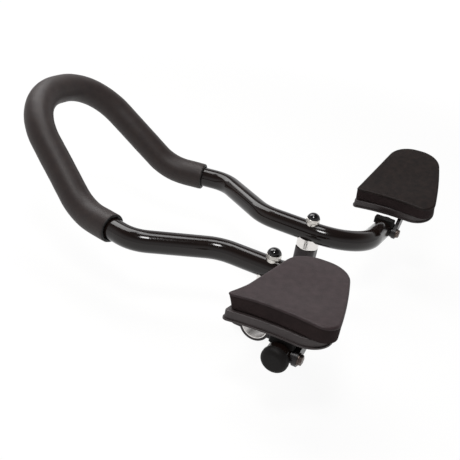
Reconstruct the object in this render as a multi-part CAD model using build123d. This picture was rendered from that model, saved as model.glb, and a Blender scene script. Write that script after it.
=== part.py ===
from build123d import *
import math
import os

# Clip-on aero handlebar extension, in millimetres.
# +X is the rider's right, +Y forward, +Z up.
# The origin lies on the axis of the handlebar, midway between the two clamps.

# Handlebar clamps
handlebar_diameter = 25.4
shim_wall = 0.8
shim_slit = 3.0
shim_clearance = 0.05
jaw_wall = 2.6
jaw_width = 26.0
jaw_gap = 2.0
lug_width = 19.0
lug_reach = 28.0
lug_corner_radius = 6.0
upper_lug_height = 7.0
lower_lug_height = 9.5
lug_edge_radius = 1.2
neck_width = 23.0
neck_depth = 22.0
neck_corner_radius = 7.0

# Screws that close the jaws
jaw_bolt_diameter = 5.0
jaw_bolt_pitch = 43.0
jaw_bolt_head_diameter = 8.5
jaw_bolt_head_height = 5.0
jaw_bolt_socket = 4.0
jaw_bolt_socket_depth = 2.6
jaw_bolt_clearance = 0.25
thread_clearance = 0.05

# Bar tube
tube_diameter = 22.2
tube_wall = 2.0
leg_offset = 52.0
leg_height = 59.5
stub_back = 55.5
stub_reach = 161.0
stub_drop = 7.6
leg_front = 55.5
flare_offset = 98.7
flare_front = 126.6
throat_offset = 84.0
throat_front = 196.0
loop_offset = 56.6
loop_front = 300.0
loop_rise = 83.7
rear_bend_radius = 52.0
leg_bend_radius = 46.0
flare_bend_radius = 35.0
rise_bend_radius = 59.0
loop_bend_radius = 63.5

# Foam grip on the loop
grip_diameter = 30.2
grip_start = 27.5
grip_clearance = 0.05
grip_end_radius = 1.5

# Plugs in the stub ends
cap_diameter = 24.2
cap_length = 7.0
cap_end_radius = 5.0
plug_length = 4.5
plug_clearance = 0.1

# Rubber rests on the stubs, below the plates
rest_top = 14.4
rest_foot = 7.0
rest_width = 23.0
rest_inward = 6.0
rest_outward = 3.5
rest_corner_radius = 2.0
rest_edge_radius = 1.2

# Bolt, spacer and nut that hold each leg
leg_bolt_diameter = 8.0
leg_bolt_clearance = 0.2
leg_bolt_head_across = 13.0
leg_bolt_head_height = 5.0
leg_bolt_head_sink = 0.6
leg_bolt_head_clearance = 0.3
leg_bolt_overrun = 2.0
spacer_diameter = 24.0
spacer_height = 7.2
spacer_wrap = 5.0
spacer_edge_radius = 1.6
saddle_clearance = 0.05
leg_washer_diameter = 14.4
leg_washer_crest = 0.5
leg_nut_across = 13.0
leg_nut_height = 4.6
leg_nut_chamfer = 0.7
dome_diameter = 14.0
dome_height = 5.6
dome_wall = 1.2

# Arm pads
pad_length = 108.5
pad_wide = 91.5
pad_narrow = 50.5
pad_heel_reach = 5.0
pad_edge_hollow = 4.5
pad_rear_bulge = 2.5
pad_corner_radius = 3.0
pad_heel_radius = 14.0
pad_nose_radius = 28.0
pad_thickness = 15.5
pad_edge_radius = 2.5
pad_top_height = 40.0
pad_gap = 0.3
pad_slip_out_left = 4.2
pad_slip_forward_left = -4.2
pad_slip_out_right = 2.0
pad_slip_forward_right = -0.2

# Moulded plates under the pads
plate_length = 74.0
plate_heel_reach = 1.0
plate_heel_radius = 22.0
plate_thickness = 3.0
plate_rim_depth = 9.0
plate_rim_wall = 2.6
plate_lip = 1.2
plate_lip_height = 1.6
plate_edge_radius = 1.2
plate_edge_offset = -1.8
plate_forward = 2.4
plate_slide = 6.9
plate_turn = 3.2
rim_taper_start = 35.0
rim_taper_end = 68.0
slot_clearance = 0.2
slot_end_room = 1.0
patch_thickness = 1.0
patch_pocket_depth = 0.7
patch_length = 34.0
patch_width = 12.0
patch_pitch = 54.0
patch_from_edge = 30.0
patch_clearance = 0.1

# Cast brackets and their screws
bracket_web_thickness = 2.5
bracket_ear_thickness = 4.0
bracket_side_clearance = 0.3
bracket_rim_clearance = 1.2
bracket_lip = 8.0
bracket_bend_radius = 3.5
bracket_web_start = 17.5
bracket_web_length = 28.0
bracket_skirt = 12.0
ear_radius = 7.0
plate_screw_diameter = 5.0
plate_screw_head_diameter = 9.0
plate_screw_head_height = 1.8
plate_screw_recess = 2.0
plate_screw_pitch = 12.0
plate_screw_overrun = 0.3
plate_screw_socket = 3.0
plate_screw_socket_depth = 1.1
plate_nut_across = 8.0
plate_nut_height = 2.7

# Cross bolts that carry the pads on the stubs
pivot_from_end = 9.5
pivot_bolt_diameter = 6.0
pivot_running_clearance = 0.05
pivot_hole_clearance = 0.1
pivot_head_across = 8.0
pivot_head_height = 2.6
pivot_head_chamfer = 0.5
pivot_tip_depth = 2.0
insert_diameter = 9.0
insert_depth = 4.0
insert_flange_diameter = 12.0
insert_clearance = 0.05
pivot_washer_diameter = 11.0
pivot_washer_thickness = 1.0
pivot_side_clearance = 0.05
pad_tilt_angle_left = 0.0
pad_tilt_angle_right = 17.0

sides = {"left": -1, "right": 1}
pad_tilts = {"left": pad_tilt_angle_left, "right": pad_tilt_angle_right}
pad_slips = {
    "left": Pos(pad_slip_out_left, pad_slip_forward_left, 0),
    "right": Pos(pad_slip_out_right, pad_slip_forward_right, 0),
}

# Sizes that follow from those above
tube_radius = tube_diameter / 2
shim_inner_radius = handlebar_diameter / 2
shim_outer_radius = shim_inner_radius + shim_wall
jaw_bore_radius = shim_outer_radius + shim_clearance
jaw_outer_radius = jaw_bore_radius + jaw_wall
spacer_bottom = leg_height - tube_radius - spacer_height
spacer_top = leg_height - tube_radius + spacer_wrap
nut_seat = leg_height + tube_radius + leg_washer_crest
dome_seat = nut_seat + leg_nut_height
leg_hole_diameter = leg_bolt_diameter + 2 * leg_bolt_clearance
stub_slope = math.tan(math.radians(stub_drop))
pivot_offset = stub_reach - pivot_from_end
pivot_height = leg_height - (pivot_offset - leg_offset) * stub_slope
plate_top = pad_top_height - pad_thickness - pad_gap
plate_bottom = plate_top - plate_thickness
web_bottom = plate_bottom - bracket_web_thickness
ear_inside = cap_diameter / 2 + bracket_side_clearance
ear_outside = ear_inside + bracket_ear_thickness
plate_screw_x = bracket_web_start + bracket_web_length / 2
clear_of_part = 500.0


def hexagon(across_flats):
    """Hexagon of a given width across its flats."""
    return RegularPolygon(across_flats / 2, 6, major_radius=False)


def upright(sketch, bottom, height):
    """A sketch in plan, made into a solid from a given height upwards."""
    return extrude(Pos(0, 0, bottom) * sketch, amount=height)


def along_x(radius, length):
    """A round bar along X, centred on the origin."""
    return Rot(0, 90, 0) * Cylinder(radius, length)


def facing_rear(sketch, start, length):
    """A sketch square to Y, made into a solid from a given distance behind the origin."""
    return extrude(Plane((0, -start, 0), x_dir=(1, 0, 0), z_dir=(0, -1, 0)) * sketch, amount=length)


def save(shape, node):
    export_step(shape, f"parts/{node}.step")


# Centre line of the bar: stub, leg, outward sweep and raised loop of one side, then the mirror image
stub_end = (stub_reach, -stub_back, leg_height - (stub_reach - leg_offset) * stub_slope)
rear_corner = (leg_offset, -stub_back, leg_height)
leg_corner = (leg_offset, leg_front, leg_height)
flare_corner = (flare_offset, flare_front, leg_height)
throat_corner = (throat_offset, throat_front, leg_height)
loop_corner = (loop_offset, loop_front, leg_height + loop_rise)


def pivot_place(side):
    """Centre of the cross bolt on the axis of a stub."""
    return Pos(side * pivot_offset, -stub_back, pivot_height)


def both_sides(points):
    """Points of the right side followed by the same points on the left, in reverse."""
    return points + [(-x, y, z) for x, y, z in reversed(points)]


def along_bends(points, radii, section):
    """A section drawn along straight runs that are joined by arcs."""
    path = FilletPolyline(*points, radius=radii)
    return sweep(Plane(path @ 0, z_dir=path % 0) * section, path=path)


def bar_tube():
    points = both_sides([stub_end, rear_corner, leg_corner, flare_corner, throat_corner, loop_corner])
    radii = [rear_bend_radius, leg_bend_radius, flare_bend_radius, rise_bend_radius, loop_bend_radius]
    section = Circle(tube_radius) - Circle(tube_radius - tube_wall)
    tube = along_bends(points, radii + radii[::-1], section)
    insert_hole = facing_rear(Circle(insert_diameter / 2 + insert_clearance), 0, tube_diameter)
    for side in sides.values():
        tube -= Pos(side * leg_offset, 0, leg_height) * Cylinder(leg_hole_diameter / 2, 2 * tube_diameter)
        tube -= pivot_place(side) * insert_hole
    return tube


def grip_foam():
    run = Vector(throat_corner) - Vector(flare_corner)
    start = Vector(flare_corner) + run.normalized() * grip_start
    points = both_sides([tuple(start), throat_corner, loop_corner])
    radii = [rise_bend_radius, loop_bend_radius]
    section = Circle(grip_diameter / 2) - Circle(tube_radius + grip_clearance)
    foam = along_bends(points, radii + radii[::-1], section)
    ends = foam.faces().sort_by(Axis.Y)[:2]
    outer_rims = [end.outer_wire().edges() for end in ends]
    return fillet(outer_rims[0] + outer_rims[1], grip_end_radius)


def end_cap(side):
    """Rounded head outside the tube and a plug inside it, along the axis of the stub."""
    outward = Vector(side, 0, -stub_slope)
    stub = Plane((side * stub_end[0], stub_end[1], stub_end[2]), z_dir=outward)
    upward = (Align.CENTER, Align.CENTER, Align.MIN)
    downward = (Align.CENTER, Align.CENTER, Align.MAX)
    head = Cylinder(cap_diameter / 2, cap_length, align=upward)
    head = fillet(head.edges().sort_by(Axis.Z)[-1], cap_end_radius)
    plug = Cylinder(tube_radius - tube_wall - plug_clearance, plug_length, align=downward)
    return stub * (head + plug)


# Pieces of one handlebar clamp, centred on the origin


def lug_outline():
    return RectangleRounded(lug_width, 2 * lug_reach, lug_corner_radius)


def jaw_bolt_places():
    return [Pos(0, way * jaw_bolt_pitch / 2, 0) for way in (-1, 1)]


def upper_jaw():
    lug_top = jaw_gap / 2 + upper_lug_height
    lugs = upright(lug_outline(), jaw_gap / 2, upper_lug_height)
    lugs = fillet(lugs.faces().sort_by(Axis.Z)[-1].edges(), lug_edge_radius)
    ring = along_x(jaw_outer_radius, jaw_width)
    neck = upright(RectangleRounded(neck_width, neck_depth, neck_corner_radius), 0, spacer_bottom)
    below_split = Pos(0, 0, jaw_gap / 2) * Box(
        clear_of_part, clear_of_part, clear_of_part, align=(Align.CENTER, Align.CENTER, Align.MAX)
    )
    jaw = ring + lugs + neck - below_split - along_x(jaw_bore_radius, 2 * jaw_width)
    head_top = jaw_bore_radius + leg_bolt_head_sink + leg_bolt_head_height
    pocket = upright(hexagon(leg_bolt_head_across + 2 * leg_bolt_head_clearance), 0, head_top)
    jaw -= pocket
    jaw -= upright(Circle(leg_hole_diameter / 2), 0, spacer_bottom)
    hole = upright(Circle(jaw_bolt_diameter / 2 + jaw_bolt_clearance), 0, lug_top)
    for place in jaw_bolt_places():
        jaw -= place * hole
    return jaw


def lower_jaw():
    lugs = upright(lug_outline(), -jaw_gap / 2 - lower_lug_height, lower_lug_height)
    lugs = fillet(lugs.faces().sort_by(Axis.Z)[0].edges(), lug_edge_radius)
    ring = along_x(jaw_outer_radius, jaw_width)
    above_split = Pos(0, 0, -jaw_gap / 2) * Box(
        clear_of_part, clear_of_part, clear_of_part, align=(Align.CENTER, Align.CENTER, Align.MIN)
    )
    jaw = ring + lugs - above_split - along_x(jaw_bore_radius, 2 * jaw_width)
    hole = upright(Circle(jaw_bolt_diameter / 2 + thread_clearance), -clear_of_part, clear_of_part)
    for place in jaw_bolt_places():
        jaw -= place * hole
    return jaw


def shim():
    """Sleeve with one slit, which faces forward in the gap between the jaws."""
    sleeve = along_x(shim_outer_radius, jaw_width) - along_x(shim_inner_radius, 2 * jaw_width)
    slit = Pos(0, shim_outer_radius, 0) * Box(2 * jaw_width, shim_outer_radius, shim_slit)
    return sleeve - slit


def jaw_bolts():
    """Socket-head screws: heads on the upper lugs, threads in the lower ones."""
    seat = jaw_gap / 2 + upper_lug_height
    shank_bottom = -jaw_gap / 2 - lower_lug_height
    head = upright(Circle(jaw_bolt_head_diameter / 2), seat, jaw_bolt_head_height)
    socket_bottom = seat + jaw_bolt_head_height - jaw_bolt_socket_depth
    head -= upright(hexagon(jaw_bolt_socket), socket_bottom, jaw_bolt_socket_depth)
    screw = head + upright(Circle(jaw_bolt_diameter / 2), shank_bottom, seat - shank_bottom)
    return Compound([place * screw for place in jaw_bolt_places()])


def leg_bolt():
    head_bottom = jaw_bore_radius + leg_bolt_head_sink
    head_top = head_bottom + leg_bolt_head_height
    shank_top = dome_seat + leg_bolt_overrun
    head = upright(hexagon(leg_bolt_head_across), head_bottom, leg_bolt_head_height)
    return head + upright(Circle(leg_bolt_diameter / 2), head_top, shank_top - head_top)


def tube_groove(side):
    """The space that stub, rear bend and leg take up, with a little room around them."""
    points = [(side * x, y, z) for x, y, z in (stub_end, rear_corner, leg_corner)]
    return along_bends(points, [rear_bend_radius], Circle(tube_radius + saddle_clearance))


def leg_groove(side):
    return Pos(-side * leg_offset, 0, 0) * tube_groove(side)


def stub_rest(side):
    """Block astride the top of a stub, in a frame with the cross bolt along Y through its origin."""
    outline = RectangleRounded(rest_inward + rest_outward, rest_width, rest_corner_radius)
    outline = Pos(side * (rest_outward - rest_inward) / 2, 0) * outline
    block = upright(outline, rest_foot, rest_top - rest_foot)
    block = fillet(block.faces().sort_by(Axis.Z)[-1].edges(), rest_edge_radius)
    return block - pivot_place(side).inverse() * tube_groove(side)


def saddle_spacer(side):
    body = upright(Circle(spacer_diameter / 2), spacer_bottom, spacer_top - spacer_bottom)
    body = fillet(body.edges().sort_by(Axis.Z)[0], spacer_edge_radius)
    return body - leg_groove(side) - upright(Circle(leg_hole_diameter / 2), spacer_bottom, spacer_top)


def leg_washer(side):
    body = upright(Circle(leg_washer_diameter / 2), leg_height, nut_seat - leg_height)
    return body - leg_groove(side) - upright(Circle(leg_hole_diameter / 2), leg_height, nut_seat)


def leg_nut():
    body = upright(hexagon(leg_nut_across), nut_seat, leg_nut_height)
    body = chamfer(body.faces().sort_by(Axis.Z)[-1].edges(), leg_nut_chamfer)
    return body - upright(Circle(leg_bolt_diameter / 2 + thread_clearance), nut_seat, leg_nut_height)


def dome(radius, height):
    """Spherical cap of a given foot radius and height, standing on the nut."""
    ball_radius = (radius**2 + height**2) / (2 * height)
    ball = Pos(0, 0, dome_seat + height - ball_radius) * Sphere(ball_radius)
    return ball & upright(Circle(2 * ball_radius), dome_seat, 2 * ball_radius)


def dome_cap():
    outside = dome(dome_diameter / 2, dome_height)
    return outside - dome(dome_diameter / 2 - dome_wall, dome_height - dome_wall)


# Pieces of one arm pad, in a frame with the cross bolt along Y through its origin.
# X runs from the long edge of the pad towards its nose, and Z is square to the pad.


def pad_outline(heel_reach, heel_radius):
    """Long edge a little hollow, rear side a little full, nose rounded on both corners."""
    heel = (-heel_reach, -pad_wide / 2)
    tip = (0, pad_wide / 2)
    nose_rear = (pad_length, -pad_narrow / 2)
    nose_front = (pad_length, pad_narrow / 2)
    rear_middle = (pad_length / 2, -(pad_wide + pad_narrow) / 4 - pad_rear_bulge)
    long_edge = ThreePointArc(tip, (pad_edge_hollow - heel_reach / 2, 0), heel)
    rear_side = ThreePointArc(heel, rear_middle, nose_rear)
    face = make_face(long_edge + rear_side + Polyline(nose_rear, nose_front, tip))
    face = fillet(face.vertices().group_by(Axis.X)[-1], pad_nose_radius)
    face = fillet(face.vertices().sort_by(Axis.Y)[-1], pad_corner_radius)
    return fillet(face.vertices().sort_by(Axis.Y)[0], heel_radius)


def plate_outline():
    """The plate follows the pad from the long edge, but has a rounder heel and leaves the nose free."""
    cover = Rectangle(plate_length + plate_heel_reach, 2 * pad_wide)
    cover = Pos((plate_length - plate_heel_reach) / 2, 0) * cover
    return pad_outline(plate_heel_reach, plate_heel_radius) & cover


def plate_place(side):
    """Middle of the long edge: the plate slides on its slots, turns a little and moves by a row of slots."""
    edge = plate_edge_offset + side * plate_slide - plate_screw_x
    forward = plate_forward - side * plate_screw_pitch / 2
    return Pos(plate_screw_x, 0, 0) * Rot(0, 0, plate_turn) * Pos(edge, forward, 0)


def pad_foam(side, slip):
    outline = pad_outline(pad_heel_reach, pad_heel_radius)
    body = upright(outline, plate_top + pad_gap, pad_thickness)
    body = fillet(body.faces().sort_by(Axis.Z)[-1].edges(), pad_edge_radius)
    return plate_place(side) * slip * body


def patch_places():
    return [Pos(patch_from_edge, way * patch_pitch / 2, 0) for way in (-1, 1)]


def hook_patches(side):
    strip = Rectangle(patch_length - 2 * patch_clearance, patch_width - 2 * patch_clearance)
    strip = upright(strip, plate_top - patch_pocket_depth, patch_thickness)
    return Compound([plate_place(side) * place * strip for place in patch_places()])


def rim_taper():
    """What is cut off the rim, which runs out to nothing towards the nose of the plate."""
    rim_bottom = plate_top - plate_rim_depth
    wedge = [
        (rim_taper_start, rim_bottom),
        (rim_taper_end, plate_bottom),
        (2 * pad_length, plate_bottom),
        (2 * pad_length, rim_bottom - plate_rim_depth),
        (rim_taper_start, rim_bottom - plate_rim_depth),
    ]
    profile = Plane.XZ * make_face(Polyline(*wedge, close=True))
    return extrude(profile, amount=pad_wide, both=True)


def plate_slots():
    """Three stepped slots: the screws use the rear two on the left plate and the front two on the right."""
    reach = 2 * (plate_slide + slot_end_room)
    head_slot = SlotCenterToCenter(reach, plate_screw_head_diameter + 2 * slot_clearance)
    shank_slot = SlotCenterToCenter(reach, plate_screw_diameter + 2 * slot_clearance)
    recess = upright(head_slot, plate_top - plate_screw_recess, plate_screw_recess)
    slot = recess + upright(shank_slot, plate_bottom, plate_thickness)
    middle = plate_screw_x - plate_edge_offset
    return [Pos(middle, row * plate_screw_pitch - plate_forward, 0) * slot for row in (-1, 0, 1)]


def pad_plate(side):
    body = upright(plate_outline(), plate_top - plate_rim_depth, plate_rim_depth)
    body = fillet(body.faces().sort_by(Axis.Z)[-1].edges(), plate_edge_radius)
    body += upright(offset(plate_outline(), plate_lip), plate_top - plate_rim_depth, plate_lip_height)
    inside = offset(plate_outline(), -plate_rim_wall)
    body -= upright(inside, plate_bottom - plate_rim_depth, plate_rim_depth)
    body -= rim_taper()
    pocket = upright(Rectangle(patch_length, patch_width), plate_top - patch_pocket_depth, patch_pocket_depth)
    for place in patch_places():
        body -= place * pocket
    for slot in plate_slots():
        body -= slot
    return plate_place(side) * body


def bracket_side_view():
    """Side of the bracket: round ear at the cross bolt, rising to the web under the plate."""
    web_end = bracket_web_start + bracket_web_length
    skirt_bottom = plate_bottom - bracket_skirt
    ear_top = plate_top - plate_rim_depth - bracket_rim_clearance
    arm = Pos((bracket_web_start + web_end) / 2, (skirt_bottom + ear_top) / 2) * Rectangle(
        bracket_web_length, ear_top - skirt_bottom
    )
    wall = Pos((bracket_web_start + web_end) / 2, (skirt_bottom + plate_bottom) / 2) * Rectangle(
        bracket_web_length, plate_bottom - skirt_bottom
    )
    swept = make_hull(Circle(ear_radius).edges() + arm.edges())
    return swept + wall - Circle(pivot_bolt_diameter / 2 + pivot_running_clearance)


def pad_bracket():
    channel = Rectangle(2 * ear_outside, 2 * plate_bottom)
    channel = fillet(channel.vertices().group_by(Axis.Y)[-1], bracket_bend_radius)
    channel -= Rectangle(2 * ear_inside, 2 * web_bottom)
    channel -= Pos(ear_outside, 0) * Rectangle(2 * ear_outside, 2 * (plate_bottom - bracket_lip))
    reach = bracket_web_start + bracket_web_length + ear_radius
    folded = extrude(Plane.YZ * channel, amount=2 * reach, both=True)
    blank = extrude(Plane.XZ * bracket_side_view(), amount=2 * ear_outside, both=True)
    bracket = folded & blank
    hole = Circle(plate_screw_diameter / 2 + slot_clearance)
    for place in plate_screw_places():
        bracket -= place * upright(hole, web_bottom, bracket_web_thickness)
    return bracket


def plate_screw_places():
    return [Pos(plate_screw_x, way * plate_screw_pitch / 2, 0) for way in (-1, 1)]


def plate_screws():
    seat = plate_top - plate_screw_recess
    shank_bottom = web_bottom - plate_nut_height - plate_screw_overrun
    head = upright(Circle(plate_screw_head_diameter / 2), seat, plate_screw_head_height)
    socket_bottom = seat + plate_screw_head_height - plate_screw_socket_depth
    head -= upright(hexagon(plate_screw_socket), socket_bottom, plate_screw_socket_depth)
    screw = head + upright(Circle(plate_screw_diameter / 2), shank_bottom, seat - shank_bottom)
    return Compound([place * screw for place in plate_screw_places()])


def plate_nuts():
    nut = upright(hexagon(plate_nut_across), web_bottom - plate_nut_height, plate_nut_height)
    bore = upright(Circle(plate_screw_diameter / 2 + thread_clearance), 0, web_bottom)
    return Compound([place * (nut - bore) for place in plate_screw_places()])


# Cross bolt and its hardware, behind the axis of the stub


washer_seat = ear_outside + pivot_side_clearance
head_seat = washer_seat + pivot_washer_thickness


def pivot_bolt():
    head = facing_rear(hexagon(pivot_head_across), head_seat, pivot_head_height)
    head = chamfer(head.faces().sort_by(Axis.Y)[0].edges(), pivot_head_chamfer)
    return head + facing_rear(Circle(pivot_bolt_diameter / 2), pivot_tip_depth, head_seat - pivot_tip_depth)


def pivot_washer():
    ring = Circle(pivot_washer_diameter / 2) - Circle(pivot_bolt_diameter / 2 + pivot_hole_clearance)
    return facing_rear(ring, washer_seat, pivot_washer_thickness)


def pivot_insert(side):
    """Threaded insert in the rear wall of the stub, with a flange hollowed to sit on the tube."""
    flange_face = ear_inside - pivot_side_clearance
    flange = facing_rear(Circle(insert_flange_diameter / 2), 0, flange_face)
    flange -= pivot_place(side).inverse() * tube_groove(side)
    barrel = facing_rear(Circle(insert_diameter / 2), insert_depth, flange_face - insert_depth)
    bore = facing_rear(Circle(pivot_bolt_diameter / 2 + thread_clearance), 0, flange_face)
    return flange + barrel - bore


os.makedirs("parts", exist_ok=True)
save(bar_tube(), "bar_tube")
save(grip_foam(), "grip_foam")
for name, side in sides.items():
    save(end_cap(side), f"end_cap_{name}")

    clamp = Pos(side * leg_offset, 0, 0)
    save(clamp * upper_jaw(), f"upper_jaw_{name}")
    save(clamp * lower_jaw(), f"lower_jaw_{name}")
    save(clamp * shim(), f"shim_{name}")
    save(clamp * jaw_bolts(), f"jaw_bolts_{name}")
    save(clamp * leg_bolt(), f"leg_bolt_{name}")
    save(clamp * saddle_spacer(side), f"saddle_spacer_{name}")
    save(clamp * leg_washer(side), f"leg_washer_{name}")
    save(clamp * leg_nut(), f"leg_nut_{name}")
    save(clamp * dome_cap(), f"dome_cap_{name}")

    pivot = pivot_place(side)
    save(pivot * pivot_bolt(), f"pivot_bolt_{name}")
    save(pivot * pivot_washer(), f"pivot_washer_{name}")
    save(pivot * pivot_insert(side), f"pivot_insert_{name}")
    save(pivot * stub_rest(side), f"stub_rest_{name}")

    tilted = pivot * Rot(0, -pad_tilts[name], 0)
    save(tilted * pad_bracket(), f"pad_bracket_{name}")
    save(tilted * pad_plate(side), f"pad_plate_{name}")
    save(tilted * plate_screws(), f"plate_screws_{name}")
    save(tilted * plate_nuts(), f"plate_nuts_{name}")
    save(tilted * hook_patches(side), f"hook_patches_{name}")
    save(tilted * pad_foam(side, pad_slips[name]), f"pad_foam_{name}")
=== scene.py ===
import math
import bpy
import numpy as np
from mathutils import Matrix, Vector


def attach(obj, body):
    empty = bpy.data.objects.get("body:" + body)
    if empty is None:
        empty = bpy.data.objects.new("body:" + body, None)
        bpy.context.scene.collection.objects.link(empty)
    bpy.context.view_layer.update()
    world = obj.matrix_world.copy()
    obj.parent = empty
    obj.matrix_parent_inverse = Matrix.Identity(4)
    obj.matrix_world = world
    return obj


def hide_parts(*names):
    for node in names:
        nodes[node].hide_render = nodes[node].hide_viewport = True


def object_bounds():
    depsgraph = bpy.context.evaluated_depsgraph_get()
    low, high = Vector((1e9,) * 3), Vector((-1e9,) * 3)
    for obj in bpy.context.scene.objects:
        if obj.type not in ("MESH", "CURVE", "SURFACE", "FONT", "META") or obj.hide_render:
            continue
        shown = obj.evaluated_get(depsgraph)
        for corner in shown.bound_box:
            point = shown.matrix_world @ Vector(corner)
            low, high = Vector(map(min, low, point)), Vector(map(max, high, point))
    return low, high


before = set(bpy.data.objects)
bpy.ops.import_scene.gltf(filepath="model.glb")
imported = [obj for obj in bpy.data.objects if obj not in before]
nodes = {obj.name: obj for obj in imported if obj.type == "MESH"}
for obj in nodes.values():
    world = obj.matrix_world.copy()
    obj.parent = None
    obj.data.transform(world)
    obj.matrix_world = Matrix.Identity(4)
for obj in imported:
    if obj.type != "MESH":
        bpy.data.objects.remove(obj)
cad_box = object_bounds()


# Handlebar clamp jaws. Two aluminium castings for each leg, bored together for the handlebar,
# shot-blasted and then stove-enamelled black, so a soft sheen lies over the cast grain. The grain is
# drawn coarser than shot leaves it, so that it shows.

sides = ("left", "right")


def linear(hex_colour):
    """sRGB hex colour as linear red, green, blue and alpha."""
    values = [int(hex_colour[i:i + 2], 16) / 255 for i in (1, 3, 5)]
    return tuple(v / 12.92 if v <= 0.04045 else ((v + 0.055) / 1.055) ** 2.4 for v in values) + (1.0,)


def put(tree, kind, sockets, **settings):
    """Adds one node: settings are its own options, sockets are values or links for its inputs."""
    new = tree.nodes.new("ShaderNode" + kind)
    for name, value in settings.items():
        setattr(new, name, value)
    for name, value in sockets.items():
        if isinstance(value, bpy.types.NodeSocket):
            tree.links.new(value, new.inputs[name])
        else:
            new.inputs[name].default_value = value
    return new


def per_metre(millimetres):
    """Pattern scale that repeats once in a given length."""
    return 1000.0 / millimetres


def new_finish(name):
    """A new material with its tree, its shader and the place on the piece, in metres."""
    finish = bpy.data.materials.new(name)
    finish.use_nodes = True
    tree = finish.node_tree
    place = put(tree, "TexCoord", {}).outputs["Object"]
    return finish, tree, tree.nodes["Principled BSDF"], place


def dress(finish, *names):
    """Gives a finish to CAD nodes."""
    for name in names:
        mesh = nodes[name].data
        mesh.materials.clear()
        mesh.materials.append(finish)


cast_enamel, tree, shader, place = new_finish("black_enamel_on_cast_aluminium")
shader.inputs["IOR"].default_value = 1.5
shader.inputs["Specular IOR Level"].default_value = 0.35
grain = put(tree, "TexNoise", {"Vector": place, "Scale": per_metre(0.9), "Detail": 3.0})
blotch = put(tree, "TexNoise", {"Vector": place, "Scale": per_metre(11.0), "Detail": 2.0})
shade = put(tree, "ValToRGB", {"Fac": blotch.outputs["Fac"]})
shade.color_ramp.elements[0].position = 0.35
shade.color_ramp.elements[0].color = linear("#221c1d")
shade.color_ramp.elements[1].position = 0.7
shade.color_ramp.elements[1].color = linear("#2c2526")
sheen_of_paint = put(tree, "MapRange", {"Value": grain.outputs["Fac"], "To Min": 0.3, "To Max": 0.46})
relief = put(tree, "Bump", {"Height": grain.outputs["Fac"], "Strength": 0.25, "Distance": 0.0002})
tree.links.new(shade.outputs["Color"], shader.inputs["Base Color"])
tree.links.new(sheen_of_paint.outputs["Result"], shader.inputs["Roughness"])
tree.links.new(relief.outputs["Normal"], shader.inputs["Normal"])
for side in sides:
    dress(cast_enamel, f"upper_jaw_{side}", f"lower_jaw_{side}")


# Shims. Slit sleeves of rolled bright aluminium sheet that line the jaws. The rolling leaves lines
# around the sleeve, which draw the reflections out sideways. They are drawn coarser than they are.

rolled_sheet, tree, shader, place = new_finish("rolled_aluminium_sheet")
shader.inputs["Metallic"].default_value = 1.0
shader.inputs["Base Color"].default_value = linear("#dedbd8")
along = put(tree, "Mapping", {"Vector": place, "Scale": (per_metre(0.7), per_metre(14.0), per_metre(14.0))})
lines = put(tree, "TexNoise", {"Vector": along.outputs["Vector"], "Scale": 1.0, "Detail": 4.0})
polish = put(tree, "MapRange", {"Value": lines.outputs["Fac"], "To Min": 0.24, "To Max": 0.36})
relief = put(tree, "Bump", {"Height": lines.outputs["Fac"], "Strength": 0.05, "Distance": 0.0001})
tree.links.new(polish.outputs["Result"], shader.inputs["Roughness"])
tree.links.new(relief.outputs["Normal"], shader.inputs["Normal"])
for side in sides:
    dress(rolled_sheet, f"shim_{side}")


# Screws, nuts and washers. Cold-formed steel with a bright zinc plating, which is a little cloudy
# and not quite even, so the flats of a nut never mirror as one.

zinc_plate, tree, shader, place = new_finish("zinc_plated_steel")
shader.inputs["Metallic"].default_value = 1.0
cloud = put(tree, "TexNoise", {"Vector": place, "Scale": per_metre(2.2), "Detail": 3.0})
shade = put(tree, "ValToRGB", {"Fac": cloud.outputs["Fac"]})
shade.color_ramp.elements[0].position = 0.3
shade.color_ramp.elements[0].color = linear("#b9b4ae")
shade.color_ramp.elements[1].position = 0.7
shade.color_ramp.elements[1].color = linear("#dcd9d4")
polish = put(tree, "MapRange", {"Value": cloud.outputs["Fac"], "To Min": 0.16, "To Max": 0.34})
relief = put(tree, "Bump", {"Height": cloud.outputs["Fac"], "Strength": 0.06, "Distance": 0.0002})
tree.links.new(shade.outputs["Color"], shader.inputs["Base Color"])
tree.links.new(polish.outputs["Result"], shader.inputs["Roughness"])
tree.links.new(relief.outputs["Normal"], shader.inputs["Normal"])
for side in sides:
    dress(zinc_plate, f"jaw_bolts_{side}", f"leg_bolt_{side}", f"leg_washer_{side}", f"leg_nut_{side}")
    dress(zinc_plate, f"plate_screws_{side}", f"plate_nuts_{side}")


# Saddle spacers. Turned from bright aluminium bar and hollowed on top for the leg. The tool leaves
# fine rings one above the other; they are drawn coarser than the real feed, so that they show.

turned_bar, tree, shader, place = new_finish("turned_aluminium_bar")
shader.inputs["Metallic"].default_value = 1.0
shader.inputs["Base Color"].default_value = linear("#e2dfdc")
rings = put(
    tree, "TexWave",
    {"Vector": place, "Scale": per_metre(1.1) / 20, "Distortion": 0.4, "Detail": 1.0},
    wave_type="BANDS", bands_direction="Z",
)
polish = put(tree, "MapRange", {"Value": rings.outputs["Fac"], "To Min": 0.14, "To Max": 0.26})
relief = put(tree, "Bump", {"Height": rings.outputs["Fac"], "Strength": 0.1, "Distance": 0.0001})
tree.links.new(polish.outputs["Result"], shader.inputs["Roughness"])
tree.links.new(relief.outputs["Normal"], shader.inputs["Normal"])
for side in sides:
    dress(turned_bar, f"saddle_spacer_{side}")


# Bar tube. One length of aluminium tube, bent cold and stove-enamelled gloss black. The enamel is
# thick and smooth, with a faint orange peel that only shows where a lamp is mirrored in it.

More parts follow.
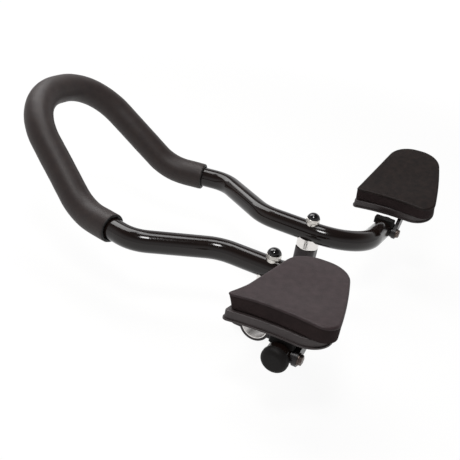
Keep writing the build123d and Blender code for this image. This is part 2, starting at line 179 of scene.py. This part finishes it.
gloss_enamel, tree, shader, place = new_finish("gloss_black_stove_enamel")
shader.inputs["IOR"].default_value = 1.5
shader.inputs["Specular IOR Level"].default_value = 0.4
peel = put(tree, "TexNoise", {"Vector": place, "Scale": per_metre(2.6), "Detail": 2.0})
depth = put(tree, "TexNoise", {"Vector": place, "Scale": per_metre(40.0), "Detail": 2.0})
shade = put(tree, "ValToRGB", {"Fac": depth.outputs["Fac"]})
shade.color_ramp.elements[0].position = 0.3
shade.color_ramp.elements[0].color = linear("#150e0c")
shade.color_ramp.elements[1].position = 0.75
shade.color_ramp.elements[1].color = linear("#1e1512")
polish = put(tree, "MapRange", {"Value": peel.outputs["Fac"], "To Min": 0.1, "To Max": 0.16})
relief = put(tree, "Bump", {"Height": peel.outputs["Fac"], "Strength": 0.03, "Distance": 0.0002})
tree.links.new(shade.outputs["Color"], shader.inputs["Base Color"])
tree.links.new(polish.outputs["Result"], shader.inputs["Roughness"])
tree.links.new(relief.outputs["Normal"], shader.inputs["Normal"])
dress(gloss_enamel, "bar_tube")


# Dome caps. Small covers moulded in polished black ABS, pressed over the ends of the leg bolts.
# They are the glossiest pieces on the bar and mirror the lamp as one round spot.

polished_abs, tree, shader, place = new_finish("polished_black_abs")
shader.inputs["IOR"].default_value = 1.54
shader.inputs["Base Color"].default_value = linear("#0f0d0e")
flow = put(tree, "TexNoise", {"Vector": place, "Scale": per_metre(5.0), "Detail": 2.0})
polish = put(tree, "MapRange", {"Value": flow.outputs["Fac"], "To Min": 0.05, "To Max": 0.1})
tree.links.new(polish.outputs["Result"], shader.inputs["Roughness"])
for side in sides:
    dress(polished_abs, f"dome_cap_{side}")


# End caps and rests. Moulded in soft black PVC: plugs pushed into the stub ends, and blocks astride the
# stubs below the plates. The mould was left matt, so the surface is dull and pebbled; the pebbles are
# drawn coarser than they are.

soft_pvc, tree, shader, place = new_finish("moulded_soft_pvc")
shader.inputs["IOR"].default_value = 1.52
shader.inputs["Specular IOR Level"].default_value = 0.15
pebble = put(tree, "TexNoise", {"Vector": place, "Scale": per_metre(0.8), "Detail": 2.0})
shade = put(tree, "ValToRGB", {"Fac": pebble.outputs["Fac"]})
shade.color_ramp.elements[0].color = linear("#0d0a0a")
shade.color_ramp.elements[1].color = linear("#161312")
dull = put(tree, "MapRange", {"Value": pebble.outputs["Fac"], "To Min": 0.5, "To Max": 0.66})
relief = put(tree, "Bump", {"Height": pebble.outputs["Fac"], "Strength": 0.2, "Distance": 0.0002})
tree.links.new(shade.outputs["Color"], shader.inputs["Base Color"])
tree.links.new(dull.outputs["Result"], shader.inputs["Roughness"])
tree.links.new(relief.outputs["Normal"], shader.inputs["Normal"])
for side in sides:
    dress(soft_pvc, f"end_cap_{side}", f"stub_rest_{side}")


# Foam grip. A sleeve of closed-cell NBR foam blown onto the loop. Its skin is dull, pitted by cells that
# are drawn coarser than they are, and not quite even in thickness, so the long highlight along it is
# broad and soft. Its two cut ends are painted darker, as painted shade on the end faces.

leg_splay = math.radians(11.96)
cut_shade_start = 0.0009
cut_shade_end = 0.0015
skin_voxel = 0.0014
wall_patch = 0.022
wall_swing = 0.0005


def settle(piece):
    """Applies the modifiers of a piece to its mesh."""
    done = bpy.data.meshes.new_from_object(piece.evaluated_get(bpy.context.evaluated_depsgraph_get()))
    piece.modifiers.clear()
    piece.data = done
    done.shade_smooth()


nbr_foam, tree, shader, place = new_finish("closed_cell_nbr_foam")
shader.inputs["IOR"].default_value = 1.5
shader.inputs["Specular IOR Level"].default_value = 0.38
cells = put(tree, "TexVoronoi", {"Vector": place, "Scale": per_metre(1.0)})
blotch = put(tree, "TexNoise", {"Vector": place, "Scale": per_metre(7.0), "Detail": 4.0})
shade = put(tree, "ValToRGB", {"Fac": blotch.outputs["Fac"]})
shade.color_ramp.elements[0].position = 0.3
shade.color_ramp.elements[0].color = linear("#241b1a")
shade.color_ramp.elements[1].position = 0.72
shade.color_ramp.elements[1].color = linear("#2d2320")
dull = put(tree, "MapRange", {"Value": cells.outputs["Distance"], "To Min": 0.47, "To Max": 0.57})
relief = put(tree, "Bump", {"Height": cells.outputs["Distance"], "Strength": 0.05, "Distance": 0.0002})
tree.links.new(dull.outputs["Result"], shader.inputs["Roughness"])
tree.links.new(relief.outputs["Normal"], shader.inputs["Normal"])

along_leg = Vector((-math.sin(leg_splay), math.cos(leg_splay), 0.0))
one_half = put(tree, "VectorMath", {0: place}, operation="ABSOLUTE")
leg_run = put(
    tree, "VectorMath", {0: one_half.outputs["Vector"], 1: along_leg}, operation="DOT_PRODUCT",
)
sleeve = nodes["grip_foam"].data.vertices
cut = min(along_leg.y * point.co.y + along_leg.x * abs(point.co.x) for point in sleeve)
# Painted shade: within about a millimetre of each cut end, the foam colour is mixed to near-black.
past_cut = put(
    tree, "MapRange",
    {"Value": leg_run.outputs["Value"], "From Min": cut + cut_shade_start, "From Max": cut + cut_shade_end},
)
shade_painted_on_cut_ends = put(
    tree, "Mix",
    {0: past_cut.outputs["Result"], 6: linear("#0d0b0a"), 7: shade.outputs["Color"]}, data_type="RGBA",
)
tree.links.new(shade_painted_on_cut_ends.outputs[2], shader.inputs["Base Color"])

grip = bpy.data.objects.new("foam_grip", nodes["grip_foam"].data.copy())
bpy.context.scene.collection.objects.link(grip)
grip.data.materials.clear()
skin = grip.modifiers.new("even_skin", "REMESH")
skin.mode = "VOXEL"
skin.voxel_size = skin_voxel
settle(grip)
smooth = grip.modifiers.new("blown_skin", "SMOOTH")
smooth.iterations = 4
smooth.factor = 0.5
uneven = bpy.data.textures.new("uneven_wall", "CLOUDS")
uneven.noise_scale = wall_patch
swell = grip.modifiers.new("uneven_wall", "DISPLACE")
swell.texture = uneven
swell.texture_coords = "GLOBAL"
swell.strength = wall_swing
swell.mid_level = 0.5
settle(grip)
grip.data.materials.append(nbr_foam)
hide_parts("grip_foam")
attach(grip, "bar")


# Pad brackets and the threaded inserts that carry them. Cast in steel: a web under the plate, one ear
# down to the cross bolt behind the stub and a short lip in front. Enamelled black, with a soft sheen.

bracket_enamel, tree, shader, place = new_finish("black_enamelled_steel")
shader.inputs["IOR"].default_value = 1.5
shader.inputs["Specular IOR Level"].default_value = 0.4
haze = put(tree, "TexNoise", {"Vector": place, "Scale": per_metre(3.0), "Detail": 3.0})
shade = put(tree, "ValToRGB", {"Fac": haze.outputs["Fac"]})
shade.color_ramp.elements[0].color = linear("#181516")
shade.color_ramp.elements[1].color = linear("#242021")
polish = put(tree, "MapRange", {"Value": haze.outputs["Fac"], "To Min": 0.28, "To Max": 0.4})
relief = put(tree, "Bump", {"Height": haze.outputs["Fac"], "Strength": 0.1, "Distance": 0.0002})
tree.links.new(shade.outputs["Color"], shader.inputs["Base Color"])
tree.links.new(polish.outputs["Result"], shader.inputs["Roughness"])
tree.links.new(relief.outputs["Normal"], shader.inputs["Normal"])
for side in sides:
    dress(bracket_enamel, f"pad_bracket_{side}", f"pivot_insert_{side}")


# Cross bolts and their washers. Steel blackened in hot salts and oiled: a thin dark brown-grey oxide
# through which the metal still shines dully, a little more on the turned faces.

black_oxide, tree, shader, place = new_finish("black_oxide_steel")
shader.inputs["Metallic"].default_value = 1.0
oxide = put(tree, "TexNoise", {"Vector": place, "Scale": per_metre(1.6), "Detail": 3.0})
shade = put(tree, "ValToRGB", {"Fac": oxide.outputs["Fac"]})
shade.color_ramp.elements[0].position = 0.3
shade.color_ramp.elements[0].color = linear("#4e4541")
shade.color_ramp.elements[1].position = 0.7
shade.color_ramp.elements[1].color = linear("#6f645e")
polish = put(tree, "MapRange", {"Value": oxide.outputs["Fac"], "To Min": 0.32, "To Max": 0.48})
tree.links.new(shade.outputs["Color"], shader.inputs["Base Color"])
tree.links.new(polish.outputs["Result"], shader.inputs["Roughness"])
for side in sides:
    dress(black_oxide, f"pivot_bolt_{side}", f"pivot_washer_{side}")


# Pad plates. Shallow trays moulded in black glass-filled nylon, screwed to the brackets. The mould
# is spark-eroded, which gives a dull, even grain that lightens the black a little. The grain is drawn
# coarser than it is.

moulded_nylon, tree, shader, place = new_finish("moulded_black_nylon")
shader.inputs["IOR"].default_value = 1.53
grain = put(tree, "TexNoise", {"Vector": place, "Scale": per_metre(0.7), "Detail": 2.0})
flow = put(tree, "TexNoise", {"Vector": place, "Scale": per_metre(16.0), "Detail": 2.0})
shade = put(tree, "ValToRGB", {"Fac": flow.outputs["Fac"]})
shade.color_ramp.elements[0].position = 0.3
shade.color_ramp.elements[0].color = linear("#302828")
shade.color_ramp.elements[1].position = 0.7
shade.color_ramp.elements[1].color = linear("#3c3333")
dull = put(tree, "MapRange", {"Value": grain.outputs["Fac"], "To Min": 0.42, "To Max": 0.58})
relief = put(tree, "Bump", {"Height": grain.outputs["Fac"], "Strength": 0.22, "Distance": 0.0002})
tree.links.new(shade.outputs["Color"], shader.inputs["Base Color"])
tree.links.new(dull.outputs["Result"], shader.inputs["Roughness"])
tree.links.new(relief.outputs["Normal"], shader.inputs["Normal"])
for side in sides:
    dress(moulded_nylon, f"pad_plate_{side}")


# Hook tape. Two strips of black woven hook-and-loop tape, glued into pockets of each plate. The weave
# is crossed by rows of hooks, which look like a coarse dark mesh.

hook_tape, tree, shader, place = new_finish("woven_hook_tape")
shader.inputs["Sheen Weight"].default_value = 0.3
hooks = put(tree, "TexVoronoi", {"Vector": place, "Scale": per_metre(1.2), "Randomness": 0.15})
shade = put(tree, "ValToRGB", {"Fac": hooks.outputs["Distance"]})
shade.color_ramp.elements[0].color = linear("#2c2a2b")
shade.color_ramp.elements[1].color = linear("#161415")
relief = put(tree, "Bump", {"Height": hooks.outputs["Distance"], "Strength": 0.6, "Distance": 0.0005})
shader.inputs["Roughness"].default_value = 0.85
tree.links.new(shade.outputs["Color"], shader.inputs["Base Color"])
tree.links.new(relief.outputs["Normal"], shader.inputs["Normal"])
for side in sides:
    dress(hook_tape, f"hook_patches_{side}")


# Arm pads. Cut from a sheet of soft EVA foam with a brushed knit cover laminated on top and held on the
# plates by hook tape. The forearm has pressed a shallow hollow into them, and the cut sides show the cells
# of the bare foam, drawn coarser than they are. The two covers are one material in a lit and a shaded copy:
# the left is painted lighter and glossier, the right darker and duller, as painted light and shade. One
# corner of the left pad is pulled out.

# Painted light and shade: the left cover gets a lighter colour and more gloss, the right cover a darker
# colour and less gloss, for the light that falls on each pad.
lit_and_shaded_cover_colours = {"left": ("#2a1f20", "#3b2e30"), "right": ("#130e0d", "#261d1a")}
lit_and_shaded_cover_gloss = {"left": 0.28, "right": 0.16}
nap_share = 0.45
brushed_knit = {}
for side in sides:
    cover, tree, shader, place = new_finish(f"brushed_knit_cover_{side}")
    shader.inputs["IOR"].default_value = 1.5
    shader.inputs["Specular IOR Level"].default_value = lit_and_shaded_cover_gloss[side]
    shader.inputs["Roughness"].default_value = 0.5
    nap = put(tree, "TexNoise", {"Vector": place, "Scale": per_metre(1.1), "Detail": 4.0, "Roughness": 0.7})
    worn = put(tree, "TexNoise", {"Vector": place, "Scale": per_metre(7.0), "Detail": 3.0})
    faded = put(
        tree, "Mix", {0: nap_share, 2: worn.outputs["Fac"], 3: nap.outputs["Fac"]}, data_type="FLOAT",
    )
    shade = put(tree, "ValToRGB", {"Fac": faded.outputs[0]})
    shade.color_ramp.elements[0].position = 0.35
    shade.color_ramp.elements[0].color = linear(lit_and_shaded_cover_colours[side][0])
    shade.color_ramp.elements[1].position = 0.65
    shade.color_ramp.elements[1].color = linear(lit_and_shaded_cover_colours[side][1])
    relief = put(tree, "Bump", {"Height": nap.outputs["Fac"], "Strength": 0.3, "Distance": 0.0003})
    tree.links.new(shade.outputs["Color"], shader.inputs["Base Color"])
    tree.links.new(relief.outputs["Normal"], shader.inputs["Normal"])
    brushed_knit[side] = cover

cut_eva, tree, shader, place = new_finish("cut_eva_foam")
shader.inputs["IOR"].default_value = 1.45
shader.inputs["Specular IOR Level"].default_value = 0.25
shader.inputs["Roughness"].default_value = 0.9
cells = put(tree, "TexVoronoi", {"Vector": place, "Scale": per_metre(0.9)})
blotch = put(tree, "TexNoise", {"Vector": place, "Scale": per_metre(12.0), "Detail": 3.0})
shade = put(tree, "ValToRGB", {"Fac": blotch.outputs["Fac"]})
shade.color_ramp.elements[0].position = 0.3
shade.color_ramp.elements[0].color = linear("#2a2121")
shade.color_ramp.elements[1].position = 0.7
shade.color_ramp.elements[1].color = linear("#342929")
relief = put(tree, "Bump", {"Height": cells.outputs["Distance"], "Strength": 0.3, "Distance": 0.0003})
tree.links.new(shade.outputs["Color"], shader.inputs["Base Color"])
tree.links.new(relief.outputs["Normal"], shader.inputs["Normal"])

side_set_in = 0.0003
cover_wrap = 0.0022
cut_side_shares = np.linspace(0.03, 0.84, 8)
wrap_angles = np.linspace(0.0, math.pi / 2, 9)
underside_shares = (0.02, 0.5, 0.97)
top_shares = np.linspace(0.97, 0.015, 34)
hollow_depth = 0.0012
hollow_radius = 0.045
corner_pull = {"left": 0.006, "right": 0.0}
pull_way = np.array([-0.57, 0.82, 0.0])
pull_reach = 0.022
points_around = 420
same_level = 1e-5


def foot_of(mesh, upward):
    """Outline of the flat underside of a pad, as even steps around it, and the pad's thickness."""
    points = np.array([vertex.co for vertex in mesh.vertices])
    height = points @ upward
    foot = points[height < height.min() + same_level]
    middle = foot.mean(axis=0)
    first = foot[0] - middle
    first = first / np.linalg.norm(first)
    second = np.cross(upward, first)
    turn = np.arctan2((foot - middle) @ second, (foot - middle) @ first)
    foot = foot[np.argsort(turn)]
    closed = np.vstack([foot, foot[:1]])
    run = np.concatenate([[0.0], np.cumsum(np.linalg.norm(np.diff(closed, axis=0), axis=1))])
    steps = np.linspace(0.0, run[-1], points_around, endpoint=False)
    outline = np.stack([np.interp(steps, run, closed[:, axis]) for axis in range(3)], axis=1)
    for _ in range(3):
        outline = (np.roll(outline, 1, axis=0) + 2 * outline + np.roll(outline, -1, axis=0)) / 4
    return outline, np.ptp(height)


for side in sides:
    solid = nodes[f"pad_foam_{side}"].data
    top_face = max((face for face in solid.polygons if face.normal.z > 0.5), key=lambda face: face.area)
    upward = np.array(top_face.normal)
    outline, thickness = foot_of(solid, upward)
    centre = outline.mean(axis=0)
    tangent = np.roll(outline, -1, axis=0) - np.roll(outline, 1, axis=0)
    inward = np.cross(upward, tangent)
    inward = inward / np.linalg.norm(inward, axis=1)[:, None]

    rings = [centre + (outline - centre) * share for share in underside_shares]
    for share in cut_side_shares:
        rings.append(outline + inward * side_set_in + upward * share * thickness)
    first_cover_ring = len(rings)
    for angle in wrap_angles:
        set_in = cover_wrap * (1.0 - math.cos(angle))
        rings.append(outline + inward * set_in + upward * (thickness - cover_wrap * (1.0 - math.sin(angle))))
    flat = rings[-1]
    summit = flat.mean(axis=0)
    for share in top_shares:
        rings.append(summit + (flat - summit) * share)
    points = np.concatenate(rings)

    height = (points - centre) @ upward
    from_middle = np.linalg.norm((points - centre) - height[:, None] * upward, axis=1)
    dip = hollow_depth * np.clip(1.0 - (from_middle / hollow_radius) ** 2, 0.0, 1.0) ** 2
    points = points - upward * (dip * np.clip(height / thickness, 0.0, 1.0) ** 2)[:, None]

    corner = outline[np.argmax((outline - centre) @ pull_way)] + upward * thickness
    away = np.linalg.norm(points - corner, axis=1)
    pull = corner_pull[side] * np.clip(1.0 - away / pull_reach, 0.0, 1.0) ** 1.5
    points = points + pull_way * pull[:, None]

    around = np.arange(points_around)
    after = np.roll(around, -1)
    faces = []
    for ring in range(len(rings) - 1):
        low = ring * points_around
        high = low + points_around
        faces += np.stack([low + around, low + after, high + after, high + around], axis=1).tolist()
    faces.append(around[::-1].tolist())
    faces.append((around + (len(rings) - 1) * points_around).tolist())
    mesh = bpy.data.meshes.new(f"arm_pad_{side}")
    mesh.from_pydata(points.tolist(), [], faces)
    mesh.materials.append(brushed_knit[side])
    mesh.materials.append(cut_eva)
    cut_faces = (first_cover_ring - 1) * points_around
    for face in mesh.polygons:
        face.material_index = 1 if face.index < cut_faces else 0
    mesh.shade_smooth()
    pad = bpy.data.objects.new(f"arm_pad_{side}", mesh)
    bpy.context.scene.collection.objects.link(pad)
    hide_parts(f"pad_foam_{side}")
    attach(pad, f"{side}_pad")


# Floor, lamps and camera. A pale sweep of paper under the bar that turns to plain white further out,
# four soft boxes and a weak even fill. Gloss mirrors pale walls that fade to dark upward. The view is
# from behind the left pad, as a buyer would look down at it.

sweep_half = 6.0
sweep_gap = 0.0005
white_start = 0.6
white_end = 2.0


def looked_at(tree):
    """Light path of a ray, and whether it comes from the camera or through something clear."""
    rays = put(tree, "LightPath", {})
    seen = put(
        tree, "Math",
        {0: rays.outputs["Is Camera Ray"], 1: rays.outputs["Is Transmission Ray"]}, operation="MAXIMUM",
    )
    return rays, seen


paper = bpy.data.materials.new("pale_paper_sweep")
paper.use_nodes = True
tree = paper.node_tree
tree.nodes.clear()
rays, seen = looked_at(tree)
seen = put(tree, "Math", {0: seen.outputs[0], 1: rays.outputs["Is Glossy Ray"]}, operation="MAXIMUM")
place = put(tree, "TexCoord", {}).outputs["Object"]
far_off = put(tree, "VectorMath", {0: place}, operation="LENGTH")
whiteness = put(
    tree, "MapRange",
    {
        "Value": far_off.outputs["Value"], "From Min": white_start, "From Max": white_end,
        "To Min": 0.86, "To Max": 1.0,
    },
    interpolation_type="SMOOTHSTEP",
)
white_share = put(tree, "Math", {0: seen.outputs[0], 1: whiteness.outputs["Result"]}, operation="MULTIPLY")
matt = put(tree, "BsdfDiffuse", {"Color": linear("#c0bebc")})
white = put(tree, "Emission", {"Color": linear("#ffffff"), "Strength": 1.08})
mixed = put(tree, "MixShader", {0: white_share.outputs[0], 1: matt.outputs[0], 2: white.outputs[0]})
put(tree, "OutputMaterial", {"Surface": mixed.outputs[0]})

below = cad_box[0][2] - sweep_gap
sweep_mesh = bpy.data.meshes.new("paper_sweep")
corners = [(x * sweep_half, y * sweep_half, below) for x, y in ((-1, -1), (1, -1), (1, 1), (-1, 1))]
sweep_mesh.from_pydata(corners, [], [range(len(corners))])
sweep_mesh.materials.append(paper)
floor = bpy.data.objects.new("paper_sweep", sweep_mesh)
bpy.context.scene.collection.objects.link(floor)

world = bpy.data.worlds.new("studio")
world.use_nodes = True
tree = world.node_tree
tree.nodes.clear()
rays, seen = looked_at(tree)
fill = put(tree, "Background", {"Color": linear("#f4f4f6"), "Strength": 0.16})
way = put(tree, "TexCoord", {}).outputs["Generated"]
upward_share = put(tree, "SeparateXYZ", {"Vector": way})
fade = put(
    tree, "MapRange",
    {"Value": upward_share.outputs["Z"], "From Min": 0.3, "From Max": 0.75, "To Min": 0.75, "To Max": 0.12},
    interpolation_type="SMOOTHSTEP",
)
walls = put(tree, "Background", {"Color": linear("#f4f4f6"), "Strength": fade.outputs["Result"]})
white = put(tree, "Background", {"Color": linear("#ffffff"), "Strength": 1.0})
mirrored = put(tree, "MixShader", {0: rays.outputs["Is Glossy Ray"], 1: fill.outputs[0], 2: walls.outputs[0]})
mixed = put(tree, "MixShader", {0: seen.outputs[0], 1: mirrored.outputs[0], 2: white.outputs[0]})
put(tree, "OutputWorld", {"Surface": mixed.outputs[0]})
bpy.context.scene.world = world


def lamp(name, place, target, size, power):
    """A square soft box that looks at a point: places and size in metres, power in watts."""
    light = bpy.data.lights.new(name, "AREA")
    light.shape = "SQUARE"
    light.size = size
    light.energy = power
    box = bpy.data.objects.new(name, light)
    box.location = place
    box.rotation_euler = (Vector(target) - Vector(place)).to_track_quat("-Z", "Y").to_euler()
    bpy.context.scene.collection.objects.link(box)


lamp("soft_box_on_the_left", (-0.5, -0.05, 1.0), (-0.05, 0.06, 0.06), 0.24, 5.0)
lamp("soft_box_in_front", (0.2, 0.75, 0.95), (0.0, 0.12, 0.08), 0.7, 8.0)
lamp("soft_box_above", (0.17, 0.23, 1.15), (0.0, 0.2, 0.1), 0.4, 3.0)
lamp("soft_box_on_the_right", (1.7, 0.35, 0.9), (-0.1, -0.05, 0.08), 1.2, 1.8)

camera = bpy.data.objects.new("camera", bpy.data.cameras.new("camera"))
camera.data.sensor_width = 36.0
camera.data.sensor_fit = "HORIZONTAL"
camera.data.lens = 57.69
camera.data.clip_end = 50.0
camera_place = Vector((-0.638385, -0.192641, 0.394984))
across_view = Vector((0.44796, -0.87942, 0.16108))
up_view = Vector((0.33398, 0.33173, 0.88228))
back_view = Vector((-0.82933, -0.34142, 0.44231))
turned = Matrix((across_view, up_view, back_view)).transposed().to_4x4()
camera.matrix_world = Matrix.Translation(camera_place) @ turned
bpy.context.scene.collection.objects.link(camera)
bpy.context.scene.camera = camera
bpy.context.scene.view_settings.view_transform = "Standard"
